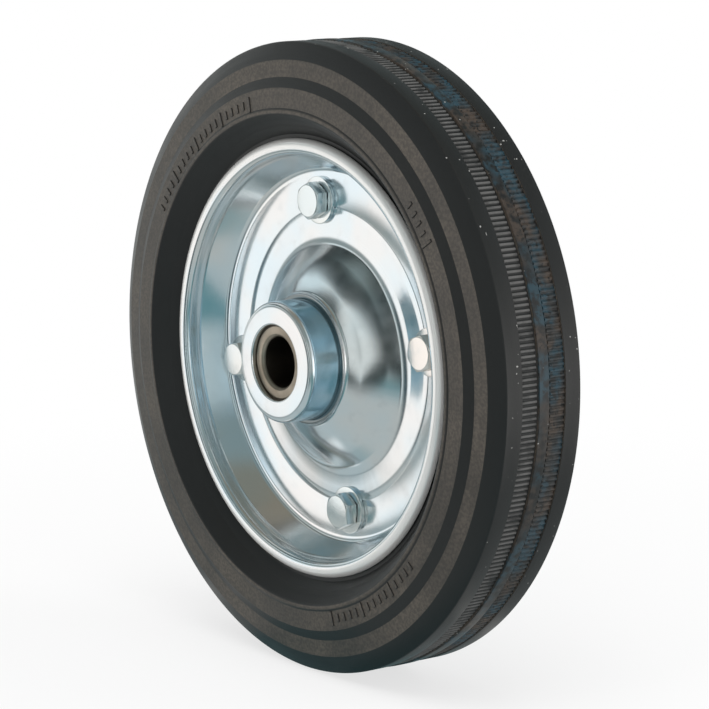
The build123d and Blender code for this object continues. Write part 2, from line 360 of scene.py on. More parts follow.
class Wire:
    """A shader socket that adds a Math node for each operation on it."""

    def __init__(self, shader, socket):
        self.shader = shader
        self.socket = socket

    def maths(self, operation, *values):
        node = self.shader.add("ShaderNodeMath", {"operation": operation}, dict(enumerate(values)))
        return node.out(0)

    def __add__(self, other):
        return self.maths("ADD", self, other)

    def __radd__(self, other):
        return self.maths("ADD", other, self)

    def __sub__(self, other):
        return self.maths("SUBTRACT", self, other)

    def __rsub__(self, other):
        return self.maths("SUBTRACT", other, self)

    def __mul__(self, other):
        return self.maths("MULTIPLY", self, other)

    def __rmul__(self, other):
        return self.maths("MULTIPLY", other, self)

    def __truediv__(self, other):
        return self.maths("DIVIDE", self, other)

    def __pow__(self, other):
        return self.maths("POWER", self, other)

    def __abs__(self):
        return self.maths("ABSOLUTE", self)


class Added:
    """A node that was added, whose outputs are read as wires."""

    def __init__(self, shader, node):
        self.shader = shader
        self.node = node

    def out(self, name):
        return Wire(self.shader, self.node.outputs[name])


class Shader:
    """The node tree of one material, with its Principled shader at hand."""

    def __init__(self, name, roughness, metallic=0.0):
        self.material = bpy.data.materials.new(name)
        self.material.use_nodes = True
        self.tree = self.material.node_tree
        self.principled = self.tree.nodes["Principled BSDF"]
        self.principled.inputs["Roughness"].default_value = roughness
        self.principled.inputs["Metallic"].default_value = metallic
        place = self.add("ShaderNodeTexCoord")
        self.place = place.out("Object")
        self.normal = place.out("Normal")
        parts = self.add("ShaderNodeSeparateXYZ", values={0: self.place})
        self.x, self.y, self.z = parts.out("X"), parts.out("Y"), parts.out("Z")
        self.radius = (self.x * self.x + self.z * self.z) ** 0.5
        self.angle = self.x.maths("ARCTAN2", self.z, self.x)

    def add(self, kind, settings=None, values=None):
        """Adds a node: its type, its settings, which are set first, and its sockets' values or links."""
        node = self.tree.nodes.new(kind)
        for name, value in (settings or {}).items():
            setattr(node, name, value)
        for name, value in (values or {}).items():
            self.feed(node.inputs[name], value)
        return Added(self, node)

    def feed(self, socket, value):
        if isinstance(value, Wire):
            self.tree.links.new(value.socket, socket)
        elif socket.type == "RGBA" and len(value) == 3:
            socket.default_value = (*value, 1)
        else:
            socket.default_value = value

    def set(self, name, value):
        self.feed(self.principled.inputs[name], value)

    def noise(self, scale, detail=3.0, vector=None, roughness=0.5):
        values = {"Vector": vector or self.place, "Scale": scale, "Detail": detail, "Roughness": roughness}
        return self.add("ShaderNodeTexNoise", values=values).out("Fac")

    def polar(self, radial, axial, angular):
        """Coordinates that follow the turning: radius, place along the axle and angle, each scaled."""
        values = {"X": self.radius * radial, "Y": self.y * axial, "Z": self.angle * angular}
        return self.add("ShaderNodeCombineXYZ", values=values).out("Vector")

    def ramp(self, value, low, high):
        """0 below low and 1 above high, with a smooth change between them."""
        settings = {"interpolation_type": "SMOOTHSTEP"}
        values = {"Value": value, "From Min": low, "From Max": high}
        return self.add("ShaderNodeMapRange", settings, values).out("Result")

    def band(self, value, low, high, edge):
        """1 between low and high, and 0 outside them."""
        return self.ramp(value, low - edge, low + edge) * (1 - self.ramp(value, high - edge, high + edge))

    def mix(self, factor, first, second):
        """first where factor is 0 and second where it is 1, both colours."""
        settings = {"data_type": "RGBA"}
        return self.add("ShaderNodeMix", settings, {0: factor, 6: first, 7: second}).out(2)

    def bump(self, height, distance, strength=1.0, normal=None):
        values = {"Height": height, "Distance": distance, "Strength": strength}
        if normal:
            values["Normal"] = normal
        return self.add("ShaderNodeBump", values=values).out("Normal")

    def facing_side(self):
        """How far the surface faces along the axle, from 0 to 1, whichever side."""
        return abs(self.add("ShaderNodeSeparateXYZ", values={0: self.normal}).out("Y"))


def rubber_base(shader, colours):
    """Dark rubber with a brownish bloom on the flat bands of the sidewalls, and stains on the tread."""
    clouds = shader.noise(38, 4)
    streaks = shader.noise(1.0, 4, shader.polar(700, 700, 2.2))
    mottle = shader.ramp(shader.noise(900, 4), 0.36, 0.66)
    flat = shader.ramp(shader.facing_side(), 0.90, 0.985) * shader.ramp(shader.radius, 0.0925, 0.0945)
    dust = flat * (0.55 + 0.45 * shader.ramp(clouds, 0.3, 0.7)) * (0.5 + 0.6 * streaks) * (0.62 + 0.50 * mottle)
    colour = shader.mix(dust, tuple(colours.rubber), tuple(colours.bloom))
    middle = shader.band(shader.y, -0.0025, 0.0025, 0.0001) * shader.ramp(shader.radius, 0.1240, 0.1244)
    return stained(shader, colour, middle * 0.8), clouds, streaks


def stained(shader, colour, where):
    """Brown and blue stains in blotches, with small black dots between them."""
    patches = shader.noise(55, 2)
    speckle = shader.noise(330, 4)
    brown = shader.ramp(patches, 0.44, 0.60) * shader.ramp(speckle, 0.36, 0.60)
    blue = shader.ramp(1 - patches, 0.44, 0.60) * shader.ramp(speckle, 0.36, 0.60)
    colour = shader.mix(where * brown * 0.85, colour, (0.062, 0.045, 0.034))
    colour = shader.mix(where * blue * 0.85, colour, (0.020, 0.056, 0.078))
    dots = shader.ramp(shader.noise(620, 2), 0.60, 0.68)
    return shader.mix(where * dots, colour, (0.004, 0.004, 0.004))


def make_rubber(colours):
    shader = Shader("rubber", 0.5)
    colour, clouds, streaks = rubber_base(shader, colours)
    specks = shader.ramp(shader.noise(520, 1), 0.74, 0.78)
    on_tread = shader.ramp(shader.radius, 0.1243, 0.1246)
    colour = shader.mix(specks * on_tread * 0.8, colour, (0.45, 0.45, 0.43))
    shader.set("Base Color", colour)
    shader.set("Roughness", 0.28 + 0.20 * clouds + 0.1 * streaks)
    grain = shader.noise(2600, 3)
    rings = shader.noise(1.0, 2, shader.polar(3200, 3200, 0.6))
    shader.set("Normal", shader.bump(grain * 0.6 + rings * 0.5, 0.00006))
    return shader.material


def make_rib_rubber(colours):
    shader = Shader("ribbed_rubber", 0.5)
    rear = shader.ramp(shader.y, 0.0, 0.001)
    # The rib crests are painted a lighter grey, partly as wear and partly as a painted highlight for the light on the
    # crests. On the rear band it is cut to a fifth.
    crest = shader.ramp(shader.radius, 0.12405, 0.12442) * (1 - 0.8 * rear)
    clouds = shader.noise(120, 4)
    crest_wear_and_highlight = crest * shader.ramp(clouds, 0.24, 0.58)
    colour = shader.mix(crest_wear_and_highlight * 0.85, tuple(colours.rubber), (0.125, 0.123, 0.120))
    colour = stained(shader, colour, rear)
    shader.set("Base Color", colour)
    shader.set("Roughness", 0.34 + 0.25 * clouds)
    shader.set("Normal", shader.bump(shader.noise(2600, 3), 0.00005))
    return shader.material


def make_zinc(name, colour, roughness=0.2, spread=0.14, wave=0.0, pits=0.0, bluer_side_radius=None, seam=None, lip=None):
    """Bright zinc plating: faint tints, a rolled grain that follows the turning, and a little haze."""
    shader = Shader(name, roughness, 1.0)
    clouds = shader.noise(22, 3)
    fine = shader.noise(180, 4)
    red, green, blue = colour
    base = shader.mix(
        shader.ramp(clouds, 0.4, 0.66), (red, green, blue), (red * 1.06, green * 0.99, blue * 0.96),
    )
    base = shader.mix(
        shader.ramp(1 - clouds, 0.42, 0.66), base, (red * 0.93, green * 0.99, blue * 1.03),
    )
    base = shader.mix(shader.ramp(fine, 0.55, 0.8) * 0.25, base, (red * 0.8, green * 0.8, blue * 0.8))
    if seam:
        base = shader.mix(0.85 * (1 - shader.ramp(shader.radius, seam - 0.0008, seam)), base, (0.10, 0.12, 0.12))
    if bluer_side_radius:
        # The tube's outer side, between its rolled ends, is tinted bluer than the rest.
        outside = shader.ramp(shader.radius, bluer_side_radius, bluer_side_radius + 0.0006) * (1 - shader.ramp(abs(shader.y), 0.029, 0.031))
        base = shader.mix(outside, base, (red * 0.62, green * 0.84, blue * 0.96))
    rough = roughness - spread / 2 + spread * fine
    if lip:
        # Painted highlight: the rolled lip is painted near white and made less metallic and rougher, so that it shows
        # white under the lamps.
        painted_white_lip = shader.ramp(shader.radius, lip, lip + 0.0008)
        base = shader.mix(0.85 * painted_white_lip, base, (0.96, 0.95, 0.92))
        shader.set("Metallic", 1 - 0.6 * painted_white_lip)
        rough = rough + 0.08 * painted_white_lip
    shader.set("Base Color", base)
    shader.set("Roughness", rough)
    grain = shader.noise(1500, 3)
    rolled = shader.noise(1.0, 2, shader.polar(2400, 2400, 5))
    relief = shader.bump(grain * 0.5 + rolled * 0.5, 0.000003)
    if wave:
        relief = shader.bump(shader.noise(26, 1), wave, normal=relief)
        spokes = shader.noise(1.0, 2, shader.polar(24, 24, 15))
        relief = shader.bump(spokes, 0.000016, normal=relief)
    if pits:
        relief = shader.bump(shader.noise(700, 2), pits, normal=relief)
    shader.set("Normal", relief)
    return shader.material


def make_race_steel(colour):
    """Oiled bearing steel: warm, with turning marks."""
    shader = Shader("race_steel", 0.35, 1.0)
    clouds = shader.noise(90, 4)
    red, green, blue = colour
    # Painted shade: the bore wall is painted dark brown in place of the shade inside the hole.
    bore = 1 - shader.ramp(shader.radius, 0.0101, 0.0106)
    base = shader.mix(shader.ramp(clouds, 0.35, 0.7), (red, green, blue), (red * 0.72, green * 0.70, blue * 0.68))
    base = shader.mix(bore * 0.75, base, (0.09, 0.075, 0.065))
    shader.set("Base Color", base)
    shader.set("Roughness", 0.28 + 0.22 * clouds)
    rings = shader.noise(1.0, 2, shader.polar(4200, 4200, 0.5))
    shader.set("Normal", shader.bump(rings, 0.00003))
    return shader.material


def make_cage_plastic(colour):
    """Greasy moulded plastic of the cage and thrust washers."""
    shader = Shader("moulded_cage", 0.45)
    clouds = shader.noise(150, 3)
    red, green, blue = colour
    shader.set("Base Color", shader.mix(clouds, (red, green, blue), (red * 0.5, green * 0.5, blue * 0.5)))
    shader.set("Roughness", 0.35 + 0.25 * clouds)
    shader.set("Normal", shader.bump(shader.noise(1800, 2), 0.00003))
    return shader.material


def studio_tone(shader):
    """The studio as metal mirrors it, by direction from the wheel: a white wall with a pale rim, a dark arc
    round its right and upper edge, dim teal and warm grey beyond, and the same again half a turn round."""
    far = (shader.x * shader.x + shader.y * shader.y + shader.z * shader.z) ** 0.5
    rise = shader.z.maths("ARCSINE", shader.z / far)
    facing = math.radians(232)
    ahead = shader.x * math.cos(facing) + shader.y * math.sin(facing)
    aside = shader.y * math.cos(facing) - shader.x * math.sin(facing)
    turn = shader.x.maths("ARCTANGENT", aside / ahead)
    across = turn / math.radians(60)
    up = (rise + math.radians(3)) / math.radians(46)
    reach = (across * across + up * up) ** 0.5
    shifted = reach - 0.09 * shader.ramp(turn, math.radians(8), math.radians(44))
    low = 1 - shader.ramp(rise, math.radians(-34), math.radians(-16))
    right = shader.ramp(turn, math.radians(-54), math.radians(-36))
    beyond = shader.mix(shader.ramp(rise, math.radians(-22), math.radians(-8)), (0.12, 0.26, 0.28), (0.50, 0.57, 0.57))
    beyond = shader.mix(shader.ramp(rise, math.radians(22), math.radians(38)), beyond, (0.22, 0.28, 0.28))
    beyond = shader.mix(shader.ramp(rise, math.radians(54), math.radians(66)), beyond, (0.22, 0.21, 0.17))
    tone = shader.mix(shader.ramp(reach, 0.36, 0.52), (1.10, 1.10, 1.08), (0.26, 0.31, 0.31))
    edge = shader.band(reach, 0.45, 0.70, 0.04) * shader.ramp(turn, math.radians(6), math.radians(16))
    tone = shader.mix(edge * (1 - shader.ramp(rise, 0.15, 0.35)), tone, (0.05, 0.08, 0.09))
    left = (1 - shader.ramp(turn, math.radians(-42), math.radians(-30))) * shader.ramp(rise, -0.45, -0.2)
    tone = shader.mix(left, tone, (0.95, 0.97, 0.95))
    tone = shader.mix(right * shader.ramp(shifted, 0.71, 0.78), tone, (0.80, 0.88, 0.88))
    tone = shader.mix(right * shader.ramp(shifted, 0.84, 0.885), tone, (0.008, 0.015, 0.015))
    tone = shader.mix(right * shader.ramp(shifted, 0.98, 1.05), tone, beyond)
    tone = shader.mix(low * shader.ramp(reach, 0.45, 0.75), tone, (0.47, 0.52, 0.52))
    tone = shader.mix(1 - shader.ramp(rise, math.radians(-73), math.radians(-64)), tone, (0.20, 0.33, 0.35))
    side = 1 - shader.ramp(turn, math.radians(-74), math.radians(-62))
    tone = shader.mix(side, tone, beyond)
    streak = shader.band(reach, 1.22, 1.32, 0.03) * shader.band(turn, -0.85, -0.12, 0.06)
    tone = shader.mix(streak * 0.8, tone, (1.0, 1.0, 0.97))
    flag = shader.ramp(turn, math.radians(82), math.radians(86))
    flag = flag * shader.band(rise, math.radians(-18), math.radians(32), math.radians(6))
    tone = shader.mix(flag, tone, (0.02, 0.03, 0.03))
    toward = (shader.x * 0.9976 + shader.y * 0.07) / far
    bright = shader.ramp(toward, 0.89, 0.96) * (1 - shader.ramp(rise, math.radians(4), math.radians(20)))
    return shader.mix(bright, tone, (2.1, 2.1, 2.05))


# Tyre

class WHEEL_OT_tyre(Operator):
    """Turn the solid rubber tyre from its stepped section"""
    bl_idname = "wheel.tyre"
    bl_label = "Tyre"

    def execute(self, context):
        settings = context.scene.wheel_tyre
        bm = turned(mirrored(TYRE_SEAT + SIDEWALL + TREAD), settings.steps, segments=3)
        new_piece("tyre_rubber", bm, "wheel", bpy.data.materials["rubber"], "black_rubber", "tyre", crease=50)
        return {"FINISHED"}


class WHEEL_OT_ribs(Operator):
    """Set the fine ribs that run across the two channels of the tread"""
    bl_idname = "wheel.ribs"
    bl_label = "Tread ribs"

    def execute(self, context):
        settings = context.scene.wheel_tyre
        for name, sign in (("tread_ribs_front", -1), ("tread_ribs_rear", 1)):
            bm = self.one_pitch(settings, sign)
            pitch = math.tau / settings.rib_count
            bmesh.ops.spin(
                bm, geom=bm.verts[:] + bm.edges[:] + bm.faces[:], cent=(0, 0, 0), axis=(0, 1, 0),
                dvec=(0, 0, 0), angle=math.tau - pitch, steps=settings.rib_count - 1, use_duplicate=True,
            )
            bmesh.ops.remove_doubles(bm, verts=bm.verts, dist=4e-6)
            bmesh.ops.recalc_face_normals(bm, faces=bm.faces)
            new_piece(name, bm, "wheel", bpy.data.materials["ribbed_rubber"], "black_rubber", crease=60)
        return {"FINISHED"}

    def one_pitch(self, settings, sign):
        """One rib with the half gap on both sides of it, open towards its neighbours."""
        pitch = math.tau / settings.rib_count
        crest = settings.rib_crest
        outline = (
            (-0.5, RIB_FLOOR), (-0.5, RIB_ROOT), (-0.33, RIB_ROOT + 0.12 * MM), (-0.13, crest - 0.07 * MM),
            (0, crest), (0.13, crest - 0.07 * MM), (0.33, RIB_ROOT + 0.12 * MM), (0.5, RIB_ROOT), (0.5, RIB_FLOOR),
        )
        bm = bmesh.new()
        verts = []
        for place, radius in outline:
            angle = place * pitch
            verts.append(bm.verts.new((radius * math.cos(angle), sign * RIB_INNER_Y, radius * math.sin(angle))))
        inner = bm.faces.new(verts)
        extruded = bmesh.ops.extrude_face_region(bm, geom=[inner], use_keep_orig=True)["geom"]
        outer_verts = [item for item in extruded if isinstance(item, bmesh.types.BMVert)]
        bmesh.ops.translate(bm, verts=outer_verts, vec=(0, sign * (RIB_OUTER_Y - RIB_INNER_Y), 0))
        open_sides = [
            face for face in bm.faces
            if len(face.verts) == 4 and abs(self.turn_of(face)) > 0.49 * pitch
        ]
        bmesh.ops.delete(bm, geom=open_sides, context="FACES_ONLY")
        ends = [
            edge for edge in bm.edges
            if abs(edge.verts[0].co.y - edge.verts[1].co.y) < 1e-6
            and min(self.radius_of(vert) for vert in edge.verts) > RIB_ROOT + 0.05 * MM
        ]
        bmesh.ops.bevel(
            bm, geom=ends, offset=0.12 * MM, offset_type="OFFSET", affect="EDGES", segments=1,
            profile=0.5, material=-1,
        )
        return bm

    def radius_of(self, vert):
        return math.hypot(vert.co.x, vert.co.z)

    def turn_of(self, face):
        middle = face.calc_center_median()
        return math.atan2(middle.z, middle.x)


class WHEEL_OT_marks(Operator):
    """Raise plain bars and ticks on the marking band of both sidewalls"""
    bl_idname = "wheel.marks"
    bl_label = "Sidewall marks"

    def execute(self, context):
        settings = context.scene.wheel_tyre
        for name, rear in (("sidewall_marks_front", False), ("sidewall_marks_rear", True)):
            bm = bmesh.new()
            self.row(bm, settings, 105.0, 2.35, 20)
            self.row(bm, settings, 285.5, 2.35, 15)
            self.row(bm, settings, 33.0, 2.35, 5)
            if rear:
                bmesh.ops.rotate(bm, verts=bm.verts, cent=(0, 0, 0), matrix=Matrix.Rotation(math.pi, 3, "Z"))
            bmesh.ops.recalc_face_normals(bm, faces=bm.faces)
            new_piece(name, bm, "wheel", bpy.data.materials["rubber"], "black_rubber", crease=50)
        return {"FINISHED"}

    def row(self, bm, settings, start, spacing, count):
        """Upright ticks, every fifth of them tall, on the front side."""
        for number in range(count):
            tall = number % 5 == 0
            low = MARK_ROOT + (0.6 * MM if tall else 2.0 * MM)
            high = MARK_TOP - (0.2 * MM if tall else 1.4 * MM)
            self.tick(bm, math.radians(start + number * spacing), low, high, 1.3 * MM, settings.mark_height)

    def tick(self, bm, angle, low, high, width, height):
        """One bar that follows the slope of the band, sunk a little into it."""
        made = bmesh.ops.create_cube(bm, size=1)["verts"]
        depth = height + 0.4 * MM
        bmesh.ops.scale(bm, verts=made, vec=(high - low, depth, width))
        edges = {edge for vert in made for edge in vert.link_edges}
        top = [edge for edge in edges if all(vert.co.y < 0 for vert in edge.verts)]
        side = [edge for edge in edges if abs(edge.verts[0].co.y - edge.verts[1].co.y) > depth / 2]
        made = bmesh.ops.bevel(
            bm, geom=side + top, offset=0.18 * MM, offset_type="OFFSET", affect="EDGES", segments=2,
            profile=0.5, material=-1,
        )["verts"]
        linked = self.island(made[0])
        slope = math.atan2(0.4, 7.8)
        middle = (low + high) / 2
        face_y = -(24.4 - 0.4 * (middle / MM - 99.2) / 7.8) * MM
        shift = Matrix.Translation((middle, face_y - height + depth / 2, 0)) @ Matrix.Rotation(slope, 4, "Z")
        bmesh.ops.transform(bm, matrix=Matrix.Rotation(-angle, 4, "Y") @ shift, verts=linked)

    def island(self, vert):
        """Every vertex that edges join to this one."""
        found = {vert}
        waiting = [vert]
        while waiting:
            for edge in waiting.pop().link_edges:
                for other in edge.verts:
                    if other not in found:
                        found.add(other)
                        waiting.append(other)
        return list(found)


# Rim halves and hub

class WHEEL_OT_rims(Operator):
    """Press the two rim halves from sheet steel, with their coined ring and bolt holes"""
    bl_idname = "wheel.rims"
    bl_label = "Rim halves"

    def execute(self, context):
        settings = context.scene.wheel_steel
        fasteners = context.scene.wheel_fasteners
        for name, node, rear in (("rim_front_pressing", "rim_front", False), ("rim_rear_pressing", "rim_rear", True)):
            bm = self.pressing(settings)
            if rear:
                bmesh.ops.rotate(bm, verts=bm.verts, cent=(0, 0, 0), matrix=Matrix.Rotation(math.pi, 3, "Z"))
            bm = combined(bm, self.holes(fasteners), "DIFFERENCE")
            new_piece(name, bm, "wheel", bpy.data.materials["plated_pressing"], "zinc_pressing", node, crease=40)
        return {"FINISHED"}

    def pressing(self, settings):
        """The sheet's back line turned round the axle, thickened forwards and coined."""
        bm = bmesh.new()
        section(bm, RIM_LINE, closed=False, segments=8)
        spin_full(bm, 256)
        disc = [face for face in bm.faces if abs(face.calc_center_median().y) < 1e-7]
        if disc[0].normal.y < 0:
            bmesh.ops.reverse_faces(bm, faces=bm.faces)
        bmesh.ops.solidify(bm, geom=bm.faces[:], thickness=settings.sheet)
        bmesh.ops.recalc_face_normals(bm, faces=bm.faces)
        for radius, depth in ((50.6, 0.04), (53.0, 0.07), (55.8, -0.02), (58.9, 0.24)):
            loop = [
                vert for vert in bm.verts
                if vert.co.y < -1e-4 and abs(math.hypot(vert.co.x, vert.co.z) - radius * MM) < 0.1 * MM
            ]
            bmesh.ops.translate(bm, verts=loop, vec=(0, depth * MM, 0))
        ends = [edge for edge in bm.edges if edge.calc_face_angle(0) > math.radians(70)]
        bmesh.ops.bevel(
            bm, geom=ends, offset=0.25 * MM, offset_type="OFFSET", affect="EDGES", segments=2,
            profile=0.5, material=-1,
        )
        return bm

    def holes(self, fasteners):
        bm = bmesh.new()
        for number in range(4):
            place = around(fasteners.phase + number * math.tau / 4, fasteners.circle)
            upright = place @ Matrix.Rotation(math.radians(90), 4, "X")
            radius = fasteners.bolt + 0.25 * MM
            bmesh.ops.create_cone(
                bm, cap_ends=True, segments=48, radius1=radius, radius2=radius, depth=8 * MM, matrix=upright,
            )
        return bm


class WHEEL_OT_hub(Operator):
    """Turn the hub tube with its rolled ends, and the inner sleeve that the axle goes through"""
    bl_idname = "wheel.hub"
    bl_label = "Hub and bearing"

    def execute(self, context):
        bm = turned(mirrored(HUB_SECTION), 192, segments=8)
        new_piece("hub_shell", bm, "wheel", bpy.data.materials["plated_hub"], "zinc_hub", "hub_tube", crease=40)
        bm = turned(mirrored(SLEEVE_SECTION), 128, segments=2)
        race = bpy.data.materials["race_steel"]
        new_piece("sleeve_turned", bm, "sleeve", race, "bearing_steel", "inner_sleeve", crease=30)
        for name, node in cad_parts.items():
            if name.startswith("roller_") and name != "roller_cage":
                node.data.materials.clear()
                node.data.materials.append(bpy.data.materials["plated_fastener"])
            elif name == "roller_cage" or name.startswith("thrust_washer"):
                node.data.materials.clear()
                node.data.materials.append(bpy.data.materials["moulded_cage"])
        return {"FINISHED"}


# Fasteners

class WHEEL_OT_fasteners(Operator):
    """Make the four bolts with their nuts and washers"""
    bl_idname = "wheel.fasteners"
    bl_label = "Fasteners"

    head_turns = (41, 20, 33, 18)
    nut_turns = (12, 47, 29, 5)

    def execute(self, context):
        settings = context.scene.wheel_fasteners
        bolts, nuts, front, rear = bmesh.new(), bmesh.new(), bmesh.new(), bmesh.new()
        for number in range(4):
            place = around(settings.phase + number * math.tau / 4, settings.circle)
            self.put(bolts, self.bolt(settings, self.head_turns[number]), place)
            self.put(nuts, self.nut(settings, self.nut_turns[number]), place)
            self.put(front, self.washer(settings, HEAD_WASHER_FACE, -1.8 * MM), place)
            self.put(rear, self.washer(settings, 1.8 * MM, NUT_WASHER_FACE), place)
        zinc = bpy.data.materials["plated_fastener"]
        plate = bpy.data.materials["plated_washer"]
        new_piece("bolts_threaded", bolts, "wheel", zinc, "zinc_fastener", "hex_bolts")
        new_piece("nuts_turned", nuts, "wheel", zinc, "zinc_fastener", "hex_nuts")
        new_piece("washers_front", front, "wheel", plate, "zinc_washer", "head_washers")
        new_piece("washers_rear", rear, "wheel", plate, "zinc_washer", "nut_washers")
        return {"FINISHED"}

    def put(self, bm, piece, place):
        bmesh.ops.transform(piece, matrix=place, verts=piece.verts)
        join(bm, piece)

    def hexagon(self, settings, front, back, both_ends, turn):
        """A hexagon along the axle whose corners are turned off at the front, or at both ends."""
        bm = bmesh.new()
        corner = settings.flats / 2 / math.cos(math.pi / 6)
        upright = Matrix.Translation((0, (front + back) / 2, 0)) @ Matrix.Rotation(math.radians(90), 4, "X")
        bmesh.ops.create_cone(
            bm, cap_ends=True, segments=6, radius1=corner, radius2=corner, depth=abs(back - front), matrix=upright,
        )
        face = settings.flats / 2 - 0.3 * MM
        slope = 0.7 * MM / (corner - face)
        reach = corner + 0.2 * MM
        drop = (reach - face) * slope
        sign = 1 if back > front else -1
        outline = [(0.0, front), (face, front), (reach, front + sign * drop)]
        if both_ends:
            outline += [(reach, back - sign * drop), (face, back), (0.0, back)]
        else:
            outline += [(reach, back + sign * MM), (0.0, back + sign * MM)]
        limit = bmesh.new()
        verts = [limit.verts.new((r, y, 0)) for r, y in outline]
        for first, second in zip(verts, verts[1:]):
            limit.edges.new((first, second))
        spin_full(limit, 96)
        bm = combined(bm, limit, "INTERSECT")
        soften(bm, 0.12 * MM, crease=25)
        bmesh.ops.rotate(bm, verts=bm.verts, cent=(0, 0, 0), matrix=Matrix.Rotation(-math.radians(turn), 3, "Y"))
        return bm

    def bolt(self, settings, turn):
        """A bolt from its head's front to its point, with a thread where it stands out."""
        seat = HEAD_WASHER_FACE
        bm = self.hexagon(settings, HEAD_FRONT, seat - 0.4 * MM, False, turn)
        root = settings.bolt - 0.61 * settings.pitch
        thread_start = NUT_WASHER_FACE + 2 * MM
        radius = settings.flats / 2 - 0.5 * MM
        lathe = [
            (radius / MM, (seat - 0.41 * MM) / MM, 0),
            (radius / MM, seat / MM, 0.05),
            (settings.bolt / MM, seat / MM, 0),
            (settings.bolt / MM, thread_start / MM, 0),
            (root / MM, thread_start / MM + 0.5, 0),
            (root / MM, BOLT_END / MM - 0.4, 0),
            (root / MM - 0.4, BOLT_END / MM, 0.1),
            (0.4, BOLT_END / MM, 0),
            (0.0, BOLT_END / MM - 0.05, 0),
            (0.0, (seat - 0.41 * MM) / MM, 0),
        ]
        shank = bmesh.new()
        section(shank, lathe, closed=False, segments=2)
        spin_full(shank, 48)
        join(bm, shank)
        join(bm, self.thread(settings, root, thread_start))
        return bm

    def thread(self, settings, root, start):
        """A ridge wound round the bolt."""
        bm = bmesh.new()
        half = 0.46 * settings.pitch
        inside = root - 0.05 * MM
        verts = [
            bm.verts.new((inside, start - half, 0)),
            bm.verts.new((settings.bolt, start - 0.06 * settings.pitch, 0)),
            bm.verts.new((settings.bolt, start + 0.06 * settings.pitch, 0)),
            bm.verts.new((inside, start + half, 0)),
        ]
        for first, second in zip(verts, verts[1:] + verts[:1]):
            bm.edges.new((first, second))
        length = BOLT_END - start - 0.75 * MM
        turns = length / settings.pitch
        steps = round(36 * turns)
        bmesh.ops.spin(
            bm, geom=bm.verts[:] + bm.edges[:], cent=(0, 0, 0), axis=(0, 1, 0),
            dvec=(0, length / steps, 0), angle=math.tau * turns, steps=steps,
        )
        bmesh.ops.holes_fill(bm, edges=[edge for edge in bm.edges if edge.is_boundary], sides=8)
        bmesh.ops.recalc_face_normals(bm, faces=bm.faces)
        return bm

    def nut(self, settings, turn):
        """A nut with both faces turned, and a bore with chamfered mouths."""
        bm = self.hexagon(settings, NUT_WASHER_FACE, NUT_END, True, turn)
        bore = bmesh.new()
        wide = settings.bolt + 0.45 * MM
        narrow = settings.bolt + 0.1 * MM
        low, high = NUT_WASHER_FACE / MM, NUT_END / MM
        lathe = [
            (0.0, low - 0.5, 0), (wide / MM + 0.5, low - 0.5, 0), (narrow / MM, low + 0.45, 0),
            (narrow / MM, high - 0.45, 0), (wide / MM + 0.5, high + 0.5, 0), (0.0, high + 0.5, 0),
        ]
        section(bore, lathe, closed=False)
        spin_full(bore, 64)
        return combined(bm, bore, "DIFFERENCE")

    def washer(self, settings, low, high):
        """A flat washer between two places along the axle."""
        inner = (settings.bolt + 0.25 * MM) / MM
        outer = settings.washer / MM
        low, high = low / MM, high / MM
        lathe = [(inner, low, 0.15), (outer, low, 0.3), (outer, high, 0.3), (inner, high, 0.15)]
        return turned(lathe, 96, segments=3)


# Finishes, floor, lights and camera

class WHEEL_OT_finishes(Operator):
    """Mix the rubber, zinc, steel and plastic finishes"""
    bl_idname = "wheel.finishes"
    bl_label = "Finishes"

    def execute(self, context):
        tyre = context.scene.wheel_tyre
        steel = context.scene.wheel_steel
        zinc = tuple(steel.zinc)
        make_rubber(tyre)
        make_rib_rubber(tyre)
        make_zinc("plated_pressing", zinc, roughness=0.15, spread=0.09, wave=0.00007, seam=0.0262, lip=0.0826)
        make_zinc("plated_hub", zinc, roughness=0.17, spread=0.08, bluer_side_radius=0.0232)
        make_zinc("plated_fastener", (0.86, 0.86, 0.84), roughness=0.20, spread=0.14, pits=0.00002)
        make_zinc("plated_washer", (0.86, 0.86, 0.84), roughness=0.18, spread=0.12)
        make_race_steel(tuple(steel.race))
        make_cage_plastic(tuple(steel.plastic))
        return {"FINISHED"}


